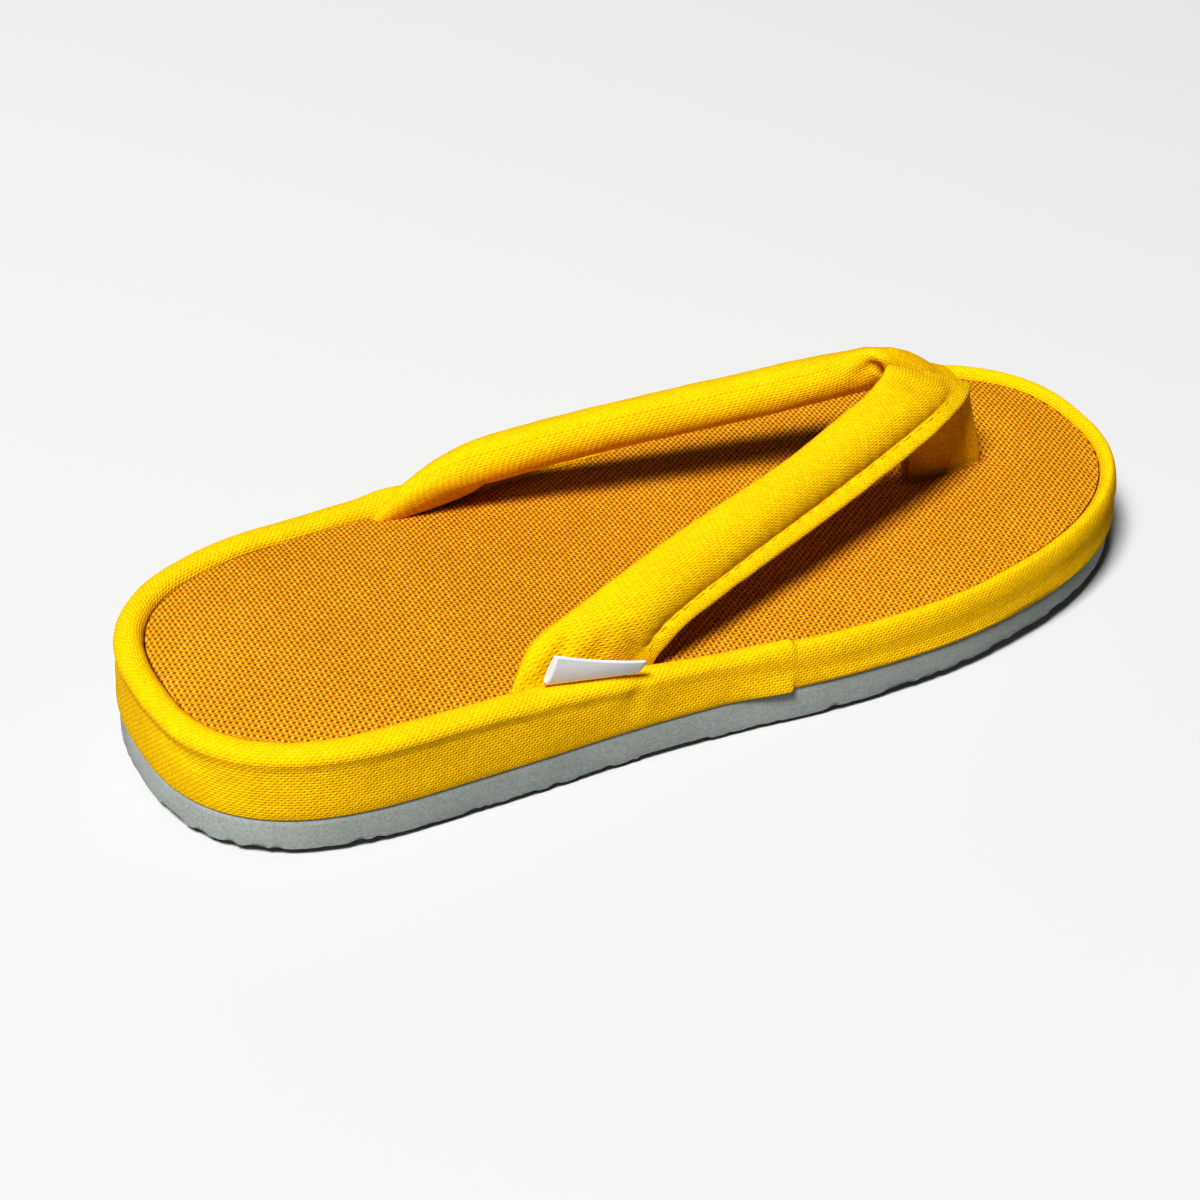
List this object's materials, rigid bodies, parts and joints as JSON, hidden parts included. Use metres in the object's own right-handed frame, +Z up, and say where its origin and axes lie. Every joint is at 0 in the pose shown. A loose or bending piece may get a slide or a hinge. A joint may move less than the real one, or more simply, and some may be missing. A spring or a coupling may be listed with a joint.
{
  "type": "zori sandal",
  "caption": "Thong sandal with padded canvas straps meeting in a toe post, a domed cloth footbed, a canvas-wrapped wedge edge and a flat grey foam sole.",
  "frame": {"origin": "middle of the bounding box on the floor plane, half way along the sole", "axes": "+X towards the toe, +Y to the left of the wearer, +Z up"},
  "size_m": [0.2564, 0.0974, 0.0588],
  "materials": {
    "grey_foam": "matte closed-cell foam with a crinkled underside",
    "yellow_canvas": "plain-weave cotton canvas, matte",
    "ochre_canvas": "coarse plain-weave canvas, matte",
    "white_ribbon": "smooth woven ribbon, blank"
  },
  "bodies": {
    "root": {"outsole": "grey_foam", "side_wrap": "yellow_canvas", "footbed": "ochre_canvas", "thong_straps": "yellow_canvas", "side_tab": "white_ribbon"}
  },
  "joints": []
}
